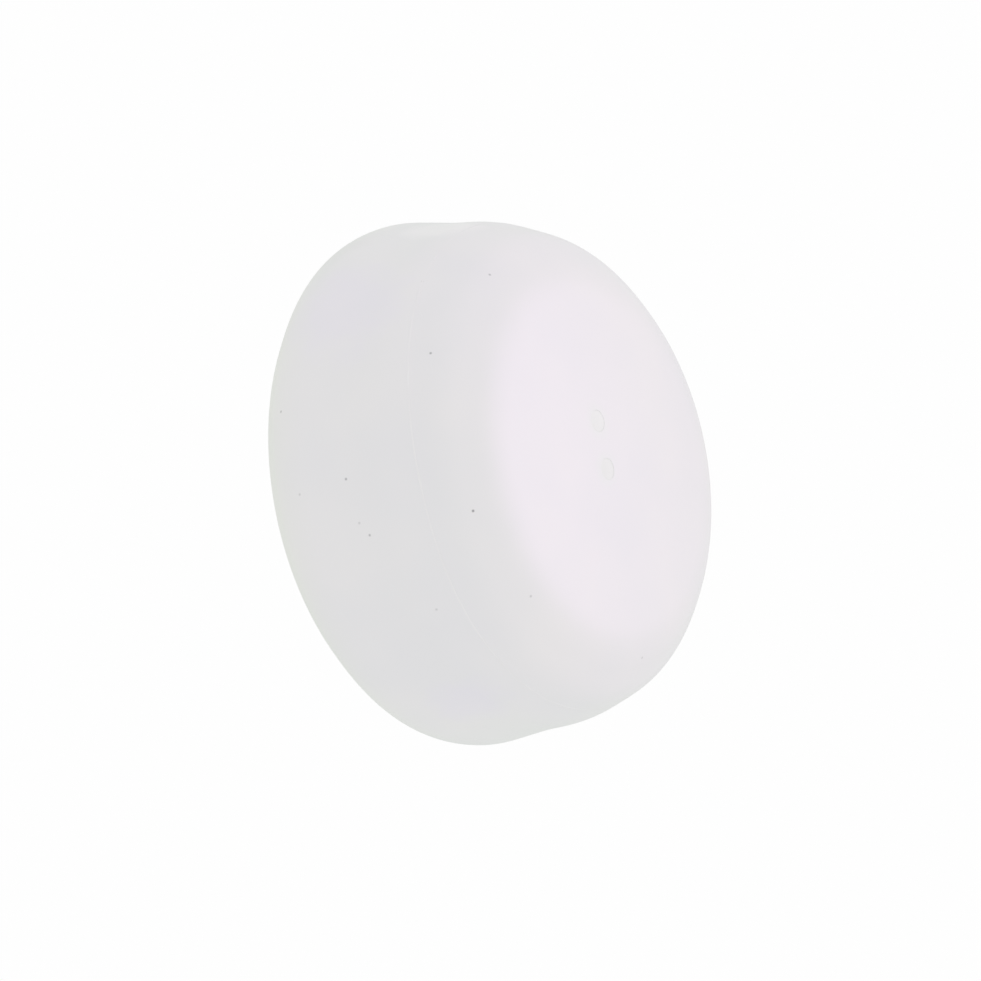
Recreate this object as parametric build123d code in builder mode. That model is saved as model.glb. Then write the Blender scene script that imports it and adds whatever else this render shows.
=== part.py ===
from build123d import *

import os

# Round raised pavement marker: two bonded plastic shells around a cast filler.
# Millimetres. +Z is up, and the origin is the centre of the underside.

# Outside: the corners of the revolved outline as (radius, height), each with its rounding.
HEIGHT = 51.4
OUTSIDE_CORNERS = [
    (40.3, 0.0),  # edge of the underside
    (50.7, 9.3),  # base bulge, the widest ring
    (48.7, 24.0),  # waist
    (48.2, 31.4),  # top of the belt
    (44.3, 41.9),  # shoulder
    (36.0, 49.1),  # edge of the top face
    (16.5, HEIGHT),  # crown of the top face
]
OUTSIDE_RADII = [9.0, 11.0, 40.0, 22.0, 13.0, 14.0, 245.0]

# Cavity: the same outline, one wall thickness further in.
CAVITY_FLOOR = 4.0
CAVITY_CEILING = 47.8
CAVITY_CORNERS = [
    (39.2, CAVITY_FLOOR),
    (46.9, 10.9),
    (45.1, 24.0),
    (44.6, 30.6),
    (41.3, 39.7),
    (34.4, 45.6),
    (16.0, CAVITY_CEILING),
]
CAVITY_RADII = [6.0, 8.0, 40.0, 18.0, 9.0, 10.0, 235.0]

# Joint between the shells
SEAM_HEIGHT = 37.5
SEAM_RADIUS = 45.94
BEAD_RADIUS = 0.6
BEAD_INSET = 0.45
TONGUE_INNER_RADIUS = 43.0
TONGUE_WIDTH = 1.1
TONGUE_DEPTH = 2.0

# Stiffening ribs under the top shell
RIB_COUNT = 6
RIB_WIDTH = 2.4
RIB_DEPTH = 10.0
RIB_HUB_RADIUS = 14.0
RIB_REACH = 34.0

# Filling ports in the top face, a little to one side of the middle
PORT_X = 3.4
FILL_PORT_Y = -6.0
VENT_PORT_Y = 3.2
PORT_RADIUS = 1.3
PORT_HEAD_RADIUS = 2.1
PORT_HEAD_DEPTH = 1.6
PLUG_RECESS = 0.3

# Closing plate and bonding grit in the underside
PLATE_OPENING_RADIUS = 29.0
PLATE_SEAT_RADIUS = 32.5
PLATE_SEAT_HEIGHT = 2.6
GRIT_THICKNESS = 0.9

os.makedirs("parts", exist_ok=True)

# The whole outside and the whole cavity, which the pieces below share.
with BuildPart() as envelope:
    with BuildSketch(Plane.XZ):
        with BuildLine():
            outside = FilletPolyline((0, 0), *OUTSIDE_CORNERS, (0, HEIGHT), radius=OUTSIDE_RADII)
            Line(outside @ 1, outside @ 0)
        make_face()
    revolve(axis=Axis.Z)

with BuildPart() as cavity:
    with BuildSketch(Plane.XZ):
        with BuildLine():
            inside = FilletPolyline(
                (0, CAVITY_FLOOR), *CAVITY_CORNERS, (0, CAVITY_CEILING), radius=CAVITY_RADII
            )
            Line(inside @ 1, inside @ 0)
        make_face()
    revolve(axis=Axis.Z)

# The bead of bonding cement squeezed out round the seam, half sunk in the shells.
with BuildPart() as seam_bead:
    with BuildSketch(Plane.XZ):
        with Locations((SEAM_RADIUS - BEAD_INSET, SEAM_HEIGHT)):
            Circle(BEAD_RADIUS)
    revolve(axis=Axis.Z)

# The tongue of the top shell, which the groove of the base shell takes.
with BuildPart() as tongue:
    with BuildSketch(Plane.XY.offset(SEAM_HEIGHT - TONGUE_DEPTH)):
        Circle(TONGUE_INNER_RADIUS + TONGUE_WIDTH)
        Circle(TONGUE_INNER_RADIUS, mode=Mode.SUBTRACT)
    extrude(amount=TONGUE_DEPTH)

# Top shell: crowned face, shoulder, ribs and the two filling ports.
with BuildPart() as top_shell:
    add(envelope.part)
    add(cavity.part, mode=Mode.SUBTRACT)
    split(bisect_by=Plane.XY.offset(SEAM_HEIGHT), keep=Keep.TOP)
    with BuildSketch(Plane.XY.offset(CAVITY_CEILING)):
        with PolarLocations(RIB_HUB_RADIUS, RIB_COUNT):
            Rectangle(
                RIB_REACH - RIB_HUB_RADIUS,
                RIB_WIDTH,
                align=(Align.MIN, Align.CENTER),
            )
        Circle(RIB_HUB_RADIUS + RIB_WIDTH / 2)
        Circle(RIB_HUB_RADIUS - RIB_WIDTH / 2, mode=Mode.SUBTRACT)
    extrude(amount=-RIB_DEPTH)
    add(tongue.part)
    add(seam_bead.part, mode=Mode.SUBTRACT)
    with Locations(Plane.XY.offset(HEIGHT)):
        with Locations((PORT_X, FILL_PORT_Y), (PORT_X, VENT_PORT_Y)):
            CounterBoreHole(
                radius=PORT_RADIUS,
                counter_bore_radius=PORT_HEAD_RADIUS,
                counter_bore_depth=PORT_HEAD_DEPTH + PLUG_RECESS,
                depth=HEIGHT - CAVITY_CEILING,
            )

# Base shell: waisted belt and wide bulge, open below for casting.
with BuildPart() as base_shell:
    add(envelope.part)
    add(cavity.part, mode=Mode.SUBTRACT)
    split(bisect_by=Plane.XY.offset(SEAM_HEIGHT), keep=Keep.BOTTOM)
    add(tongue.part, mode=Mode.SUBTRACT)
    add(seam_bead.part, mode=Mode.SUBTRACT)
    with BuildSketch(Plane.XY):
        Circle(PLATE_SEAT_RADIUS)
    extrude(amount=PLATE_SEAT_HEIGHT, mode=Mode.SUBTRACT)
    with BuildSketch(Plane.XY):
        Circle(PLATE_OPENING_RADIUS)
    extrude(amount=CAVITY_FLOOR, mode=Mode.SUBTRACT)

# Closing plate: a stepped disc seated in the rebate of the base shell.
with BuildPart() as base_plate:
    with BuildSketch(Plane.XY.offset(GRIT_THICKNESS)):
        Circle(PLATE_SEAT_RADIUS)
    extrude(amount=PLATE_SEAT_HEIGHT - GRIT_THICKNESS)
    with BuildSketch(Plane.XY.offset(PLATE_SEAT_HEIGHT)):
        Circle(PLATE_OPENING_RADIUS)
    extrude(amount=CAVITY_FLOOR - PLATE_SEAT_HEIGHT)

# Grit bonded to the plate, flush with the underside, for the road adhesive to key to.
with BuildPart() as grit_coat:
    with BuildSketch(Plane.XY):
        Circle(PLATE_SEAT_RADIUS)
    extrude(amount=GRIT_THICKNESS)


def port_plug(port_y, label):
    """A stepped plug that closes one port of the top face, sunk a little below it."""
    head_top = HEIGHT - PLUG_RECESS
    with BuildPart() as plug:
        with BuildSketch(Plane.XY.offset(CAVITY_CEILING)):
            with Locations((PORT_X, port_y)):
                Circle(PORT_RADIUS)
        extrude(amount=head_top - CAVITY_CEILING)
        with BuildSketch(Plane.XY.offset(head_top - PORT_HEAD_DEPTH)):
            with Locations((PORT_X, port_y)):
                Circle(PORT_HEAD_RADIUS)
        extrude(amount=PORT_HEAD_DEPTH)
    plug.part.label = label
    return plug.part


fill_plug = port_plug(FILL_PORT_Y, "fill_plug")
vent_plug = port_plug(VENT_PORT_Y, "vent_plug")

# Filler: the sand-filled resin cast into the cavity, round the ribs.
with BuildPart() as filler_core:
    add(cavity.part)
    add(top_shell.part, mode=Mode.SUBTRACT)

top_shell.part.label = "top_shell"
base_shell.part.label = "base_shell"
seam_bead.part.label = "seam_bead"
base_plate.part.label = "base_plate"
grit_coat.part.label = "grit_coat"
filler_core.part.label = "filler_core"

pieces = [
    top_shell.part,
    base_shell.part,
    seam_bead.part,
    base_plate.part,
    grit_coat.part,
    fill_plug,
    vent_plug,
    filler_core.part,
]
for piece in pieces:
    export_step(piece, f"parts/{piece.label}.step")
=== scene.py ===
import math

import bmesh
import bpy
from mathutils import Matrix, Vector, noise


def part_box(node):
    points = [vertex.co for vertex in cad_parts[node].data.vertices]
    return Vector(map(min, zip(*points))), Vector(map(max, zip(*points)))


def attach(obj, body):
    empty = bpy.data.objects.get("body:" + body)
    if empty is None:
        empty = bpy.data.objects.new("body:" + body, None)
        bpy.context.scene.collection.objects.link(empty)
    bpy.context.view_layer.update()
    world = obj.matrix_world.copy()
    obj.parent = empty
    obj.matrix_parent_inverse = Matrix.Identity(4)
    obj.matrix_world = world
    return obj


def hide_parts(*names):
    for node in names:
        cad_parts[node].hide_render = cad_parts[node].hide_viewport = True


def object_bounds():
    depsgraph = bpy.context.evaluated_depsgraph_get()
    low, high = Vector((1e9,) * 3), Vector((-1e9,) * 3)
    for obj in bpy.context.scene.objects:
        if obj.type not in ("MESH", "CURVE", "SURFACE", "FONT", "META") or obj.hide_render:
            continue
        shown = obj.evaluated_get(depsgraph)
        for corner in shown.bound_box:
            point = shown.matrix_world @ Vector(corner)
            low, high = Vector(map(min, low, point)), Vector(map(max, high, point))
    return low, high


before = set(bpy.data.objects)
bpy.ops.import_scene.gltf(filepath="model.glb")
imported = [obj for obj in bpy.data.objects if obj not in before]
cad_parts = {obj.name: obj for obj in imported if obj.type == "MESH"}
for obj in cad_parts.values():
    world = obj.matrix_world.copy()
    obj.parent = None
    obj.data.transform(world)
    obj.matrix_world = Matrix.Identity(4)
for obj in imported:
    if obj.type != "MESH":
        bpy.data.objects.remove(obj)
cad_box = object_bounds()

MM = 0.001
BODY = "root"
SEGMENTS = 480  # steps round the body
STEP = 0.5 * MM  # distance between the rows of a skin
ARC_STEPS = 24  # steps in each rounded corner of an outline
SHARP_ANGLE = math.radians(38)  # edges sharper than this aren't smoothed over

# ---------------------------------------------------------------------------
# The design, as in part.py, in metres
# ---------------------------------------------------------------------------
HEIGHT = cad_box[1].z
OUTSIDE_CORNERS = [
    (40.3 * MM, 0.0),  # edge of the underside
    (50.7 * MM, 9.3 * MM),  # base bulge, the widest ring
    (48.7 * MM, 24.0 * MM),  # waist
    (48.2 * MM, 31.4 * MM),  # top of the belt
    (44.3 * MM, 41.9 * MM),  # shoulder
    (36.0 * MM, 49.1 * MM),  # edge of the top face
    (16.5 * MM, HEIGHT),  # crown of the top face
]
OUTSIDE_RADII = [9.0 * MM, 11.0 * MM, 40.0 * MM, 22.0 * MM, 13.0 * MM, 14.0 * MM, 245.0 * MM]
CAVITY_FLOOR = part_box("filler_core")[0].z
CAVITY_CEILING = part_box("filler_core")[1].z
CAVITY_CORNERS = [
    (39.2 * MM, CAVITY_FLOOR),
    (46.9 * MM, 10.9 * MM),
    (45.1 * MM, 24.0 * MM),
    (44.6 * MM, 30.6 * MM),
    (41.3 * MM, 39.7 * MM),
    (34.4 * MM, 45.6 * MM),
    (16.0 * MM, CAVITY_CEILING),
]
CAVITY_RADII = [6.0 * MM, 8.0 * MM, 40.0 * MM, 18.0 * MM, 9.0 * MM, 10.0 * MM, 235.0 * MM]
SEAM_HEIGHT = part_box("base_shell")[1].z
TONGUE_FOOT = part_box("top_shell")[0].z
TONGUE_INNER = 43.0 * MM
TONGUE_OUTER = 44.1 * MM
PLATE_OPENING = 29.0 * MM
PLATE_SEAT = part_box("base_plate")[1].x
PLATE_SEAT_HEIGHT = 2.6 * MM
GRIT_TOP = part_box("grit_coat")[1].z
GRAIN = 1.1 * MM  # the bonded sand's grains
RIB_COUNT = 6
RIB_WIDTH = 2.4 * MM
RIB_FOOT = CAVITY_CEILING - 10.0 * MM
RIB_HUB = 14.0 * MM
RIB_REACH = 34.0 * MM
PORT_RADIUS = 1.3 * MM
PORT_HEAD_RADIUS = 2.1 * MM
PORT_HEAD_DEPTH = 1.6 * MM
PLUG_RECESS = 0.3 * MM
PORT_SEAT = HEIGHT - PLUG_RECESS - PORT_HEAD_DEPTH

# ---------------------------------------------------------------------------
# How the moulding departs from the drawing
# ---------------------------------------------------------------------------
LEAN = 0.0515  # sideways shift of the outer skin for each unit of height
LEAN_PIVOT = 13.7 * MM  # the height that doesn't shift
UNEVENNESS = 0.1 * MM  # in and out from the drawing
UNEVEN_LENGTH = 30.0 * MM  # from one swell to the next
UNEVEN_SQUEEZE = 1.6  # how much closer the swells are up the side than round it
UNEVEN_OFFSET = 0.3  # keeps most of the skin inside the drawing
FACE_TRUE = (10.0 * MM, 28.0 * MM)  # radii between which the face leaves the drawing
BASE_TRUE = (PLATE_SEAT, 39.0 * MM)  # and the same on the underside
LEAST_GIRTH = 20.0 * MM  # inside this radius the swells shrink with the radius
BASE_FULLNESS = 0.45 * MM  # extra girth low down on the two sides
BASE_FULL_HEIGHTS = (4.0 * MM, 12.0 * MM)  # heights over which that girth fades
SEAM_DIP = 5.0 * MM  # how far the seam sags on one side
SEAM_DIP_ANGLE = math.radians(-95)
SEAM_DIP_HALF_WIDTH = math.radians(105)
SEAM_EDGE = 0.15 * MM  # rounding of the shells' edges at the seam
SOFTENING = 6  # passes that ease the outline's bends
DIMPLE_DEPTH = 0.1 * MM  # round each port
DIMPLE_RADIUS = 3.6 * MM


def turned(arm, angle):
    """The same arm, turned in its plane."""
    c, s = math.cos(angle), math.sin(angle)
    return Vector((arm.x * c - arm.y * s, arm.x * s + arm.y * c))


def evenly(points, step):
    """The same line, with its points one step apart."""
    out = [points[0].copy()]
    ahead = step
    for a, b in zip(points[:-1], points[1:]):
        run = (b - a).length
        while ahead <= run:
            out.append(a.lerp(b, ahead / run))
            ahead += step
        ahead -= run
    if (out[-1] - points[-1]).length < step / 2:
        out.pop()
    out.append(points[-1].copy())
    return out


def rounded_outline(start, corners, radii, end):
    """Straight runs from start to end, joined by tangent arcs at the corners."""
    points = [Vector(start)]
    stops = [Vector(start), *map(Vector, corners), Vector(end)]
    for before, corner, after, radius in zip(stops, stops[1:], stops[2:], radii):
        inward = (corner - before).normalized()
        outward = (after - corner).normalized()
        turn = math.atan2(inward.cross(outward), inward.dot(outward))
        begin = corner - inward * radius * math.tan(abs(turn) / 2)
        arm = turned(inward, math.copysign(math.pi / 2, -turn)) * radius
        centre = begin - arm
        points += [centre + turned(arm, turn * i / ARC_STEPS) for i in range(ARC_STEPS + 1)]
    points.append(Vector(end))
    return evenly(points, STEP)


def soften(points, passes):
    """Eases a line's bends, with its ends held."""
    for _ in range(passes):
        middle = [(a + b * 2 + c) / 4 for a, b, c in zip(points, points[1:], points[2:])]
        points = [points[0], *middle, points[-1]]
    return points


def smooth_step(value, low, high):
    """Rises from 0 at low to 1 at high, with level ends."""
    t = min(1.0, max(0.0, (value - low) / (high - low)))
    return t * t * (3 - 2 * t)


OUTSIDE = soften(rounded_outline((0, 0), OUTSIDE_CORNERS, OUTSIDE_RADII, (0, HEIGHT)), SOFTENING)
CAVITY = rounded_outline((0, CAVITY_FLOOR), CAVITY_CORNERS, CAVITY_RADII, (0, CAVITY_CEILING))


def along(line, distance):
    """The point of a line at that distance from its start."""
    at = min(len(line) - 1.0001, max(0.0, distance / STEP))
    i = int(at)
    return line[i].lerp(line[i + 1], at - i)


def reach_height(line, height):
    """How far along a rising line that height is."""
    i = next(i for i, p in enumerate(line) if p.y >= height)
    below, above = line[i - 1], line[i]
    return (i - 1 + (height - below.y) / (above.y - below.y)) * STEP


def port_centre(plug_node):
    low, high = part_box(plug_node)
    return Vector(((low.x + high.x) / 2, (low.y + high.y) / 2))


PORTS = {node: port_centre(node) for node in ("fill_plug", "vent_plug")}


def dimple(x, y):
    """How far the face sinks round the ports."""
    near = min((Vector((x, y)) - centre).length for centre in PORTS.values())
    return DIMPLE_DEPTH * (1 - smooth_step(near, 0, DIMPLE_RADIUS))


def face_drop(x, y):
    """How far the crowned face lies under its highest point."""
    r = math.hypot(x, y)
    i = next(i for i in range(len(OUTSIDE) - 1, 0, -1) if OUTSIDE[i].x > r)
    outer, inner = OUTSIDE[i], OUTSIDE[i + 1]
    share = (outer.x - r) / (outer.x - inner.x)
    return HEIGHT - (outer.y + (inner.y - outer.y) * share)


def skin_point(distance, angle, sink=0.0):
    """A point of the uneven outer skin, by distance along the outline and angle round the body."""
    here = along(OUTSIDE, distance)
    run = along(OUTSIDE, distance + STEP) - along(OUTSIDE, distance - STEP)
    out = Vector((run.y, -run.x)).normalized()
    r, z = here - out * sink
    x, y = r * math.cos(angle), r * math.sin(angle)
    if here.y > SEAM_HEIGHT:
        free = smooth_step(r, *FACE_TRUE)
        z -= dimple(x, y)
    else:
        free = smooth_step(r, *BASE_TRUE)
    ripple = noise.noise(Vector((x, y, z * UNEVEN_SQUEEZE)) / UNEVEN_LENGTH) - UNEVEN_OFFSET
    full = BASE_FULLNESS * math.sin(angle) ** 2 * (1 - smooth_step(here.y, *BASE_FULL_HEIGHTS))
    swell = 1 + free * (UNEVENNESS * ripple + full) / max(r, LEAST_GIRTH)
    return Vector((x * swell, y * swell + free * LEAN * (z - LEAN_PIVOT), z))


def seam_height(angle):
    """The seam's height, which sags towards one side."""
    away = abs((angle - SEAM_DIP_ANGLE + math.pi) % (2 * math.pi) - math.pi)
    if away > SEAM_DIP_HALF_WIDTH:
        return SEAM_HEIGHT
    return SEAM_HEIGHT - SEAM_DIP * (1 + math.cos(math.pi * away / SEAM_DIP_HALF_WIDTH)) / 2


ANGLES = [2 * math.pi * i / SEGMENTS for i in range(SEGMENTS)]
SEAM_DISTANCES = [reach_height(OUTSIDE, seam_height(a)) for a in ANGLES]
OUTSIDE_LENGTH = (len(OUTSIDE) - 1) * STEP
SEAM_GRADES = [away * MM for away in (0.0, 0.08, 0.17, 0.28, 0.42, 0.6, 0.85, 1.2, 1.7)]


def seam_edge_rows(side):
    """Rows of skin beside the seam, from its edge outwards; side is 1 above it and -1 below."""
    rows = []
    for away in SEAM_GRADES:
        sink = SEAM_EDGE * max(0.0, 1 - away / SEAM_EDGE) ** 2
        rows.append([skin_point(s + side * away, a, sink) for s, a in zip(SEAM_DISTANCES, ANGLES)])
    return rows


def skin_rows_to(fixed):
    """Rows of skin from beside the seam to one fixed distance along the outline."""
    gap = abs(fixed - sum(SEAM_DISTANCES) / SEGMENTS)
    side = math.copysign(1, fixed - SEAM_DISTANCES[0])
    count = int(gap / STEP)
    rows = []
    for i in range(1, count + 1):
        t = i / count
        row = []
        for s, a in zip(SEAM_DISTANCES, ANGLES):
            beside = s + side * SEAM_GRADES[-1]
            row.append(skin_point(beside * (1 - t) + fixed * t, a))
        rows.append(row)
    return rows


def skin_rows(first, last):
    """Rows of skin between two distances along the outline."""
    count = max(1, round(abs(last - first) / STEP))
    spots = [first + (last - first) * i / count for i in range(count + 1)]
    return [[skin_point(s, a) for a in ANGLES] for s in spots]


def ring(radius, height):
    """A level ring of points round the axis."""
    return [Vector((radius * math.cos(a), radius * math.sin(a), height)) for a in ANGLES]


def line_rows(points):
    """A ring for each (radius, height) point."""
    return [ring(p.x, p.y) for p in points]


def cavity_rows(low, high, stride=4):
    """Rows of the cavity wall between two heights, from the lower one up."""
    first = int(reach_height(CAVITY, low) / STEP) + 1
    last = int(reach_height(CAVITY, high) / STEP)
    return line_rows([along(CAVITY, i * STEP) for i in range(first, last, stride)])


# ---------------------------------------------------------------------------
# Mesh making
# ---------------------------------------------------------------------------
def add_object(name, mesh):
    """A new object in the scene, smooth but for its sharp edges."""
    mesh.shade_smooth()
    mesh.set_sharp_from_angle(angle=SHARP_ANGLE)
    piece = bpy.data.objects.new(name, mesh)
    bpy.context.scene.collection.objects.link(piece)
    return piece


def lathe(name, rows, poles=None):
    """A closed body from rows of points round the axis. With poles, the first and last row close on
    those points of the axis; without, the last row joins the first."""
    bm = bmesh.new()
    rings = [[bm.verts.new(p) for p in row] for row in rows]
    pairs = list(zip(rings, rings[1:]))
    if poles is None:
        pairs.append((rings[-1], rings[0]))
    for low, high in pairs:
        count = len(low)
        for i in range(count):
            j = (i + 1) % count
            bm.faces.new((low[i], low[j], high[j], high[i]))
    if poles is not None:
        for point, loop in zip(poles, (rings[0], rings[-1])):
            pole = bm.verts.new(point)
            for i in range(len(loop)):
                bm.faces.new((pole, loop[i], loop[(i + 1) % len(loop)]))
    bmesh.ops.recalc_face_normals(bm, faces=bm.faces)
    mesh = bpy.data.meshes.new(name)
    bm.to_mesh(mesh)
    bm.free()
    return add_object(name, mesh)


def turned_body(name, section, segments=96, centre=(0, 0)):
    """A closed body turned from (radius, height) points; the first and last lie on the axis."""
    rows = []
    for radius, height in section[1:-1]:
        row = []
        for i in range(segments):
            angle = 2 * math.pi * i / segments
            x = centre[0] + radius * math.cos(angle)
            y = centre[1] + radius * math.sin(angle)
            row.append(Vector((x, y, height)))
        rows.append(row)
    poles = [Vector((*centre, section[0][1])), Vector((*centre, section[-1][1]))]
    return lathe(name, rows, poles)


def block(name, low, high, angle):
    """A plain block between two corners, turned about the axis."""
    bm = bmesh.new()
    bmesh.ops.create_cube(bm, size=1.0)
    size = Vector(high) - Vector(low)
    middle = (Vector(high) + Vector(low)) / 2
    bmesh.ops.scale(bm, vec=size, verts=bm.verts)
    bmesh.ops.translate(bm, vec=middle, verts=bm.verts)
    bmesh.ops.rotate(bm, matrix=Matrix.Rotation(angle, 3, "Z"), verts=bm.verts)
    mesh = bpy.data.meshes.new(name)
    bm.to_mesh(mesh)
    bm.free()
    return add_object(name, mesh)


def combine(piece, tool, operation):
    """Joins a tool to a piece, or cuts it out, and removes the tool."""
    modifier = piece.modifiers.new(operation, "BOOLEAN")
    modifier.operation = operation
    modifier.solver = "EXACT"
    modifier.object = tool
    evaluated = piece.evaluated_get(bpy.context.evaluated_depsgraph_get())
    mesh = bpy.data.meshes.new_from_object(evaluated)
    piece.modifiers.clear()
    piece.data = mesh
    mesh.set_sharp_from_angle(angle=SHARP_ANGLE)
    bpy.data.objects.remove(tool)


# ---------------------------------------------------------------------------
# Pieces
# ---------------------------------------------------------------------------
RIB_SUNK = 0.1 * MM  # how far the ribs reach into the shell
CUT_SPARE = 1.0 * MM  # how far a port's cutter runs past both faces
TOP_GRADED = 5.0 * MM  # height above the seam where the rows are level again
BASE_GRADED = 12.0 * MM  # and below it
WALL_END = 0.02 * MM  # between a cavity wall's last row and the level it meets
CEILING_RINGS = (22.0 * MM, 16.0 * MM, 10.0 * MM, 4.0 * MM)


def joint_rows():
    """The tongue's outline, from its outer foot to the cavity wall."""
    return [
        ring(TONGUE_OUTER, SEAM_HEIGHT),
        ring(TONGUE_OUTER, TONGUE_FOOT),
        ring(TONGUE_INNER, TONGUE_FOOT),
        ring(TONGUE_INNER, SEAM_HEIGHT),
    ]


def make_ribs():
    """The ribs and hub under the top shell, sunk a little into it."""
    top = CAVITY_CEILING + RIB_SUNK
    half = RIB_WIDTH / 2
    outer, inner = RIB_HUB + half, RIB_HUB - half
    section = [(inner, RIB_FOOT), (outer, RIB_FOOT), (outer, top), (inner, top)]
    hub = lathe("rib_hub", line_rows([Vector(point) for point in section]))
    for i in range(RIB_COUNT):
        angle = 2 * math.pi * i / RIB_COUNT
        rib = block("rib", (RIB_HUB, -half, RIB_FOOT), (RIB_REACH, half, top), angle)
        combine(hub, rib, "UNION")
    return hub


def make_port_cutter(centre):
    """The stepped hole that a plug fills."""
    below = CAVITY_CEILING - CUT_SPARE
    above = HEIGHT + CUT_SPARE
    section = [
        (0, below),
        (PORT_RADIUS, below),
        (PORT_RADIUS, PORT_SEAT),
        (PORT_HEAD_RADIUS, PORT_SEAT),
        (PORT_HEAD_RADIUS, above),
        (0, above),
    ]
    return turned_body("port_cutter", section, centre=centre)


def make_top_shell():
    """The face and shoulder, with the tongue, the ribs inside and the two ports."""
    centre_top = Vector((0, 0, HEIGHT))
    centre_ceiling = Vector((0, 0, CAVITY_CEILING))
    fixed = reach_height(OUTSIDE, SEAM_HEIGHT + TOP_GRADED)
    skin = seam_edge_rows(1) + skin_rows_to(fixed) + skin_rows(fixed + STEP, OUTSIDE_LENGTH - STEP)
    wall = cavity_rows(SEAM_HEIGHT, CAVITY_CEILING - WALL_END)
    ceiling = line_rows([Vector((radius, CAVITY_CEILING)) for radius in CEILING_RINGS])
    rows = skin[::-1] + joint_rows() + wall + ceiling
    shell = lathe("top_shell_skin", rows, [centre_top, centre_ceiling])
    combine(shell, make_ribs(), "UNION")
    for centre in PORTS.values():
        combine(shell, make_port_cutter(centre), "DIFFERENCE")
    return shell


def make_base_shell():
    """The belt and the bulge, with the groove for the tongue and the opening for the plate."""
    fixed = reach_height(OUTSIDE, SEAM_HEIGHT - BASE_GRADED)
    skin = seam_edge_rows(-1) + skin_rows_to(fixed) + skin_rows(fixed - STEP, PLATE_SEAT)
    wall = cavity_rows(CAVITY_FLOOR + WALL_END, SEAM_HEIGHT)
    opening = [
        ring(PLATE_OPENING, CAVITY_FLOOR),
        ring(PLATE_OPENING, PLATE_SEAT_HEIGHT),
        ring(PLATE_SEAT, PLATE_SEAT_HEIGHT),
    ]
    rows = skin[::-1] + joint_rows() + wall[::-1] + opening
    return lathe("base_shell_skin", rows)


def make_seam_bead():
    """The bead of cement: a round cord nearly sunk in the groove, thicker in some places than others."""
    count = 14
    radius, sunk = 0.5 * MM, 0.47 * MM
    lumps, lump_size = 9, 0.1
    rows = []
    for k in range(count):
        lap = 2 * math.pi * k / count
        row = []
        for s, a in zip(SEAM_DISTANCES, ANGLES):
            lump = 1 + lump_size * noise.noise(Vector((math.cos(a), math.sin(a), 0)) * lumps)
            across = radius * lump * math.cos(lap)
            lift = radius * lump * math.sin(lap) - sunk
            row.append(skin_point(s + across, a, -lift))
        rows.append(row)
    return lathe("seam_bead_cord", rows)


def make_plug(node):
    """A stepped plug with an eased rim, its head following the skin round it."""
    fit = 0.01 * MM
    head, shank = PORT_HEAD_RADIUS - fit, PORT_RADIUS - fit
    head_top = HEIGHT - 0.012 * MM
    flat = head_top - 0.1 * MM  # only the head's own face is higher
    section = [
        (0, CAVITY_CEILING),
        (shank * 0.8, CAVITY_CEILING),
        (shank, CAVITY_CEILING + 0.3 * MM),
        (shank, PORT_SEAT),
        (head, PORT_SEAT),
        (head, head_top - 0.02 * MM),
        (head - 0.03 * MM, head_top - 0.006 * MM),
        (head - 0.1 * MM, head_top),
        (head - 0.7 * MM, head_top),
        (0.7 * MM, head_top),
        (0, head_top),
    ]
    plug = turned_body(node + "_body", section, centre=PORTS[node])
    for vertex in plug.data.vertices:
        x, y, z = vertex.co
        if z > flat:
            vertex.co.z = z - face_drop(x, y) - dimple(x, y)
    return plug


def make_grit_coat():
    """A disc of bonded sand: a flat back and a grainy face."""
    depth = 0.45 * MM
    edge = 0.8 * MM  # width of the smooth rim
    clear = 0.02 * MM  # the lowest grains above the ground
    count = 90
    rows = []
    for i in range(1, count + 1):
        radius = PLATE_SEAT * i / count
        row = []
        for p in ring(radius, 0):
            near = noise.voronoi(p / GRAIN)[0][0]
            fade = smooth_step(PLATE_SEAT - radius, 0, edge)
            row.append(Vector((p.x, p.y, depth * min(1.0, near * near) * fade + clear)))
        rows.append(row)
    rows += [ring(PLATE_SEAT, GRIT_TOP), ring(PLATE_SEAT / 2, GRIT_TOP)]
    return lathe("grit_layer", rows, [Vector((0, 0, depth / 2)), Vector((0, 0, GRIT_TOP))])


# ---------------------------------------------------------------------------
# Materials
# ---------------------------------------------------------------------------
RANGE_SOCKETS = ("From Min", "From Max", "To Min", "To Max")


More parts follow.
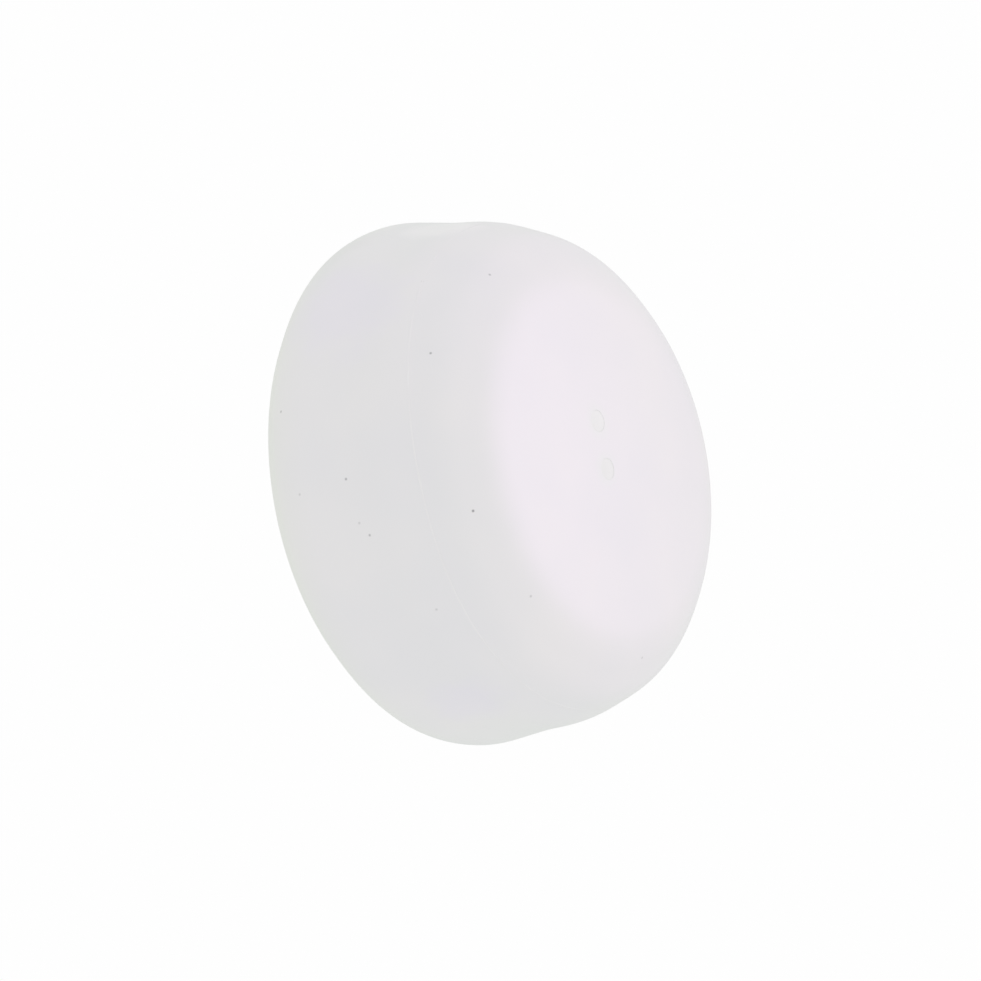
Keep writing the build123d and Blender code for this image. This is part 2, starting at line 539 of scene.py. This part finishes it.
class Surface:
    """A material with one Principled shader, to which the helpers below add texture nodes."""

    def __init__(self, name, roughness, specular=0.5):
        self.material = bpy.data.materials.new(name)
        self.material.use_nodes = True
        self.nodes = self.material.node_tree.nodes
        self.links = self.material.node_tree.links
        self.shader = self.nodes["Principled BSDF"]
        self.shader.inputs["Roughness"].default_value = roughness
        self.shader.inputs["Specular IOR Level"].default_value = specular
        self.place = self.nodes.new("ShaderNodeTexCoord").outputs["Object"]

    def noise(self, scale, detail=3.0, roughness=0.55):
        node = self.nodes.new("ShaderNodeTexNoise")
        node.inputs["Scale"].default_value = scale
        node.inputs["Detail"].default_value = detail
        node.inputs["Roughness"].default_value = roughness
        self.links.new(self.place, node.inputs["Vector"])
        return node.outputs["Fac"]

    def ramp(self, value, stops):
        node = self.nodes.new("ShaderNodeValToRGB")
        elements = node.color_ramp.elements
        while len(elements) < len(stops):
            elements.new(0.5)
        for element, (position, color) in zip(elements, stops):
            element.position = position
            element.color = (*color, 1.0)
        self.links.new(value, node.inputs["Fac"])
        return node.outputs["Color"]

    def mix(self, factor, a, b, blend="MIX"):
        node = self.nodes.new("ShaderNodeMix")
        node.data_type = "RGBA"
        node.blend_type = blend
        for name, value in (("Factor", factor), ("A", a), ("B", b)):
            self.feed(node.inputs[name], value)
        return node.outputs["Result"]

    def feed(self, socket, value):
        if isinstance(value, bpy.types.NodeSocket):
            self.links.new(value, socket)
        elif isinstance(value, tuple):
            socket.default_value = (*value, 1.0)
        else:
            socket.default_value = value

    def math(self, operation, a, b=0.0):
        node = self.nodes.new("ShaderNodeMath")
        node.operation = operation
        for socket, value in zip(node.inputs, (a, b)):
            self.feed(socket, value)
        return node.outputs["Value"]

    def scale_range(self, value, low, high, new_low, new_high):
        node = self.nodes.new("ShaderNodeMapRange")
        for name, number in zip(RANGE_SOCKETS, (low, high, new_low, new_high)):
            node.inputs[name].default_value = number
        self.links.new(value, node.inputs["Value"])
        return node.outputs["Result"]

    def bump(self, height, strength, distance, under=None):
        node = self.nodes.new("ShaderNodeBump")
        node.inputs["Strength"].default_value = strength
        node.inputs["Distance"].default_value = distance
        self.links.new(height, node.inputs["Height"])
        if under is not None:
            self.links.new(under, node.inputs["Normal"])
        return node.outputs["Normal"]

    def color(self, output):
        self.feed(self.shader.inputs["Base Color"], output)

    def roughness(self, output):
        self.feed(self.shader.inputs["Roughness"], output)

    def normal(self, output):
        self.links.new(output, self.shader.inputs["Normal"])

    def paint(self, *pieces):
        for piece in pieces:
            piece.data.materials.clear()
            piece.data.materials.append(self.material)


SPECKS = [
    # angle round the body in degrees, height in millimetres, darkness
    (6, 44.5, 1.0),
    (-6, 23, 0.7),
    (-35, 39.5, 0.7),
    (7, 25.5, 0.6),
    (-23, 9.5, 0.6),
    (-65, 43.5, 0.6),
    (35, 47, 0.4),
    (92, 47.5, 0.4),
    (-4, 13, 0.3),
    (-56, 34, 0.3),
    (4, 24, 0.3),
    (27, 33, 0.3),
]

PAINTED_LIGHT_PATCHES = [
    # painted shade and painted light on the side, as faint patches: two slightly darker bluish ones, one
    # lighter and one darker; angle round the body in degrees, height and radius in millimetres, tint
    (-48, 20, 15, (0.99, 0.98, 1.02)),
    (56, 26, 9, (0.985, 0.975, 1.02)),
    (-84, 27, 9, (1.08, 1.07, 1.07)),
    (-75, 8, 10, (0.97, 0.97, 0.97)),
]

PORT_STAIN_RADIUS = 4.2 * MM
PORT_STAIN_TINT = (0.98, 1.01, 0.98)
SPECK_CORE = 0.05 * MM
SPECK_EDGE = 0.36 * MM


def shell_plastic(name):
    """Satin white moulded plastic with faint mottling, a fine skin texture, a few dark specks, a tint
    round the ports and a few faint patches of painted light and shade on the side.
    """
    s = Surface(name, roughness=0.3)
    mottle = s.noise(38.0, detail=2.0)
    body = s.ramp(mottle, [(0.36, (0.735, 0.735, 0.745)), (0.64, (0.755, 0.75, 0.752))])
    # patches of painted light and shade on the side, and a tint round the ports
    body = add_port_tints_and_painted_light(s, body)
    body = add_specks(s, body)
    s.color(body)
    s.roughness(s.scale_range(s.noise(140.0), 0.3, 0.7, 0.28, 0.33))
    fine = s.bump(s.noise(2600.0, detail=2.0), 0.12, 0.05 * MM)
    wave = s.bump(s.noise(120.0, detail=2.0), 0.25, 0.08 * MM, under=fine)
    s.normal(wave)
    return s


def side_point(angle, height):
    """A point of the side, by degrees round the body and millimetres up."""
    return skin_point(reach_height(OUTSIDE, height * MM), math.radians(angle))


def distance_to(s, point):
    """How far the surface is from that point."""
    node = s.nodes.new("ShaderNodeVectorMath")
    node.operation = "DISTANCE"
    s.links.new(s.place, node.inputs[0])
    node.inputs[1].default_value = point
    return node.outputs["Value"]


def add_port_tints_and_painted_light(s, body):
    """Tints the skin round the ports, and paints light and shade on the side as a few wide, faint
    patches: painted shade where they are darker, painted light where they are lighter.
    """
    places = [(side_point(angle, height), radius * MM, tint) for angle, height, radius, tint in PAINTED_LIGHT_PATCHES]
    for centre in PORTS.values():
        places.append((Vector((*centre, HEIGHT)), PORT_STAIN_RADIUS, PORT_STAIN_TINT))
    for point, radius, tint in places:
        wander = s.scale_range(s.noise(180.0), 0.3, 0.7, -radius / 6, radius / 6)
        ragged = s.math("ADD", distance_to(s, point), wander)
        patch = s.scale_range(ragged, radius * 0.4, radius, 1.0, 0.0)
        body = s.mix(patch, body, s.mix(1.0, body, tint, blend="MULTIPLY"))
    return body


def add_specks(s, body):
    """Darkens tiny spots of trapped dirt at fixed places of the side."""
    spots = None
    for angle, height, darkness in SPECKS:
        away = distance_to(s, side_point(angle, height))
        spot = s.scale_range(away, SPECK_CORE, SPECK_EDGE, darkness, 0.0)
        spots = spot if spots is None else s.math("MAXIMUM", spots, spot)
    return s.mix(spots, body, (0.2, 0.2, 0.21))


def plain_plastic(name, color, roughness):
    """Moulded plastic or cement of one colour, faintly mottled."""
    s = Surface(name, roughness=roughness)
    r, g, b = color
    s.color(s.ramp(s.noise(90.0), [(0.35, (r * 0.97, g * 0.97, b * 0.97)), (0.65, color)]))
    s.normal(s.bump(s.noise(2200.0, detail=2.0), 0.15, 0.05 * MM))
    return s


def sand(name, dark, light, grain):
    """Sand grains in resin, for the filler and the bonding face."""
    s = Surface(name, roughness=0.85, specular=0.3)
    cells = s.nodes.new("ShaderNodeTexVoronoi")
    cells.inputs["Scale"].default_value = 1 / grain
    s.links.new(s.place, cells.inputs["Vector"])
    tone = s.nodes.new("ShaderNodeSeparateColor")
    s.links.new(cells.outputs["Color"], tone.inputs["Color"])
    duller = tuple(c * 0.85 for c in light)
    s.color(s.ramp(tone.outputs["Red"], [(0.0, dark), (0.55, light), (1.0, duller)]))
    s.normal(s.bump(cells.outputs["Distance"], 0.5, grain * 0.4))
    return s


# ---------------------------------------------------------------------------
# Camera, light and floor
# ---------------------------------------------------------------------------
VIEW_FROM_AXIS = math.radians(56.9)  # between the body's axis and the line of sight
ROLL = math.radians(11.42)  # how far the body's axis points up in the picture
CAMERA_DISTANCE = 4.0
CAMERA_REACH = 20.0
PICTURE_WIDTH = 185.0 * MM  # width seen at the body
AIM = Vector((0, 0.44 * MM, 22.3 * MM))
AIM_RIGHT = 0.58 * MM
AIM_DOWN = 2.3 * MM
SENSOR = 36.0
TABLE_HALF_WIDTH = 4.0
TABLE_DROP = 0.02 * MM  # the table stands clear of the underside
WHITE = 0.992  # the backdrop and the table, as the camera sees them

KEY_AZIMUTH = math.radians(-167.5)
KEY_ELEVATION = math.radians(58.5)
KEY_EDGE = math.radians(38.5)  # how far from its middle the softbox fades out
KEY_WAY = (
    math.cos(KEY_ELEVATION) * math.cos(KEY_AZIMUTH),
    math.cos(KEY_ELEVATION) * math.sin(KEY_AZIMUTH),
    math.sin(KEY_ELEVATION),
)
FRONT_RANGE = (-1.2, 0.15)  # where along X the tent brightens towards the camera's side
BAND_HEIGHT = 1.05  # how high the violet band along the horizon fades out
BASE_COLOR = (0.77, 0.83, 0.76)
FRONT_COLOR = (0.155, 0.135, 0.085)
BAND_COLOR = (0.13, 0.06, 0.26)
KEY_COLOR = (1.1, 0.69, 1.24)


def make_camera():
    """Looks down on the face from one side, rolled so that the axis points right and a little up."""
    toward = Vector((math.sin(VIEW_FROM_AXIS), 0, math.cos(VIEW_FROM_AXIS)))
    along_axis = Vector((-math.cos(VIEW_FROM_AXIS), 0, math.sin(VIEW_FROM_AXIS)))
    side = Vector((0, 1, 0))
    right = along_axis * math.cos(ROLL) + side * math.sin(ROLL)
    up = along_axis * math.sin(ROLL) - side * math.cos(ROLL)
    data = bpy.data.cameras.new("camera")
    data.sensor_width = SENSOR
    data.lens = SENSOR * CAMERA_DISTANCE / PICTURE_WIDTH
    data.clip_end = CAMERA_REACH
    camera = bpy.data.objects.new("camera", data)
    bpy.context.scene.collection.objects.link(camera)
    aim = AIM + right * AIM_RIGHT - up * AIM_DOWN
    turn = Matrix((right, up, toward)).transposed().to_4x4()
    camera.matrix_world = Matrix.Translation(aim + toward * CAMERA_DISTANCE) @ turn
    bpy.context.scene.camera = camera


def make_world():
    """A pale light tent, brighter on the camera's side, with a violet band along the horizon and one
    large pink softbox above and behind the body. The camera itself sees plain white."""
    world = bpy.data.worlds.new("studio")
    world.use_nodes = True
    nodes, links = world.node_tree.nodes, world.node_tree.links

    def node(kind, **settings):
        made = nodes.new(kind)
        for name, value in settings.items():
            setattr(made, name, value)
        return made

    def ease(value, low, high, new_low=0.0, new_high=1.0):
        made = node("ShaderNodeMapRange", interpolation_type="SMOOTHSTEP")
        for name, number in zip(RANGE_SOCKETS, (low, high, new_low, new_high)):
            made.inputs[name].default_value = number
        links.new(value, made.inputs["Value"])
        return made.outputs["Result"]

    def glow(amount, color):
        made = node("ShaderNodeVectorMath", operation="SCALE")
        made.inputs[0].default_value = color
        links.new(amount, made.inputs["Scale"])
        return made.outputs["Vector"]

    def total(first, second):
        made = node("ShaderNodeVectorMath", operation="ADD")
        links.new(first, made.inputs[0])
        if isinstance(second, tuple):
            made.inputs[1].default_value = second
        else:
            links.new(second, made.inputs[1])
        return made.outputs["Vector"]

    way = node("ShaderNodeTexCoord").outputs["Generated"]
    parts = node("ShaderNodeSeparateXYZ")
    links.new(way, parts.inputs["Vector"])
    toward_key = node("ShaderNodeVectorMath", operation="DOT_PRODUCT")
    links.new(way, toward_key.inputs[0])
    toward_key.inputs[1].default_value = KEY_WAY
    level = node("ShaderNodeMath", operation="ABSOLUTE")
    links.new(parts.outputs["Z"], level.inputs[0])

    front = ease(parts.outputs["X"], *FRONT_RANGE)
    band = node("ShaderNodeMath", operation="MULTIPLY")
    links.new(front, band.inputs[0])
    links.new(ease(level.outputs["Value"], 0.0, BAND_HEIGHT, 1.0, 0.0), band.inputs[1])
    key = ease(toward_key.outputs["Value"], math.cos(KEY_EDGE), 1.0)
    color = total(glow(band.outputs["Value"], BAND_COLOR), BASE_COLOR)
    color = total(glow(front, FRONT_COLOR), color)
    color = total(glow(key, KEY_COLOR), color)

    background = nodes["Background"]
    links.new(color, background.inputs["Color"])
    white = node("ShaderNodeBackground")
    white.inputs["Color"].default_value = (1.0, 1.0, 1.0, 1.0)
    white.inputs["Strength"].default_value = WHITE
    choice = node("ShaderNodeMixShader")
    links.new(node("ShaderNodeLightPath").outputs["Is Camera Ray"], choice.inputs["Fac"])
    links.new(background.outputs["Background"], choice.inputs[1])
    links.new(white.outputs["Background"], choice.inputs[2])
    links.new(choice.outputs["Shader"], nodes["World Output"].inputs["Surface"])
    bpy.context.scene.world = world


def make_floor():
    """A plain white light table, which casts no light of its own on the body."""
    bm = bmesh.new()
    bmesh.ops.create_grid(bm, x_segments=1, y_segments=1, size=TABLE_HALF_WIDTH)
    mesh = bpy.data.meshes.new("floor")
    bm.to_mesh(mesh)
    bm.free()
    floor = bpy.data.objects.new("floor", mesh)
    bpy.context.scene.collection.objects.link(floor)
    floor.location.z = -TABLE_DROP
    floor.visible_diffuse = False
    floor.visible_glossy = False
    floor.visible_transmission = False
    material = bpy.data.materials.new("white_table")
    material.use_nodes = True
    nodes = material.node_tree.nodes
    nodes.remove(nodes["Principled BSDF"])
    glow = nodes.new("ShaderNodeEmission")
    glow.inputs["Strength"].default_value = WHITE
    material.node_tree.links.new(glow.outputs["Emission"], nodes["Material Output"].inputs["Surface"])
    mesh.materials.append(material)


# ---------------------------------------------------------------------------
# Assembly
# ---------------------------------------------------------------------------
def place(piece, node, surface):
    """The piece stands for a CAD node, rides on the body and takes its material."""
    surface.paint(piece)
    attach(piece, BODY)
    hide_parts(node)


shell_white = shell_plastic("satin_white_plastic")
bead_white = plain_plastic("bonding_cement", (0.77, 0.765, 0.77), 0.35)
plug_white = plain_plastic("plug_plastic", (0.735, 0.758, 0.732), 0.32)
plate_grey = plain_plastic("plate_plastic", (0.5, 0.5, 0.5), 0.55)
bond_sand = sand("bonded_sand", (0.22, 0.2, 0.17), (0.6, 0.57, 0.5), GRAIN)
filler_sand = sand("sand_filled_resin", (0.3, 0.28, 0.24), (0.5, 0.47, 0.41), 0.7 * MM)

place(make_top_shell(), "top_shell", shell_white)
place(make_base_shell(), "base_shell", shell_white)
place(make_seam_bead(), "seam_bead", bead_white)
place(make_plug("fill_plug"), "fill_plug", plug_white)
place(make_plug("vent_plug"), "vent_plug", plug_white)
place(make_grit_coat(), "grit_coat", bond_sand)
plate_grey.paint(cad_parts["base_plate"])
filler_sand.paint(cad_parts["filler_core"])

make_camera()
make_floor()
make_world()
bpy.context.scene.view_settings.view_transform = "Standard"
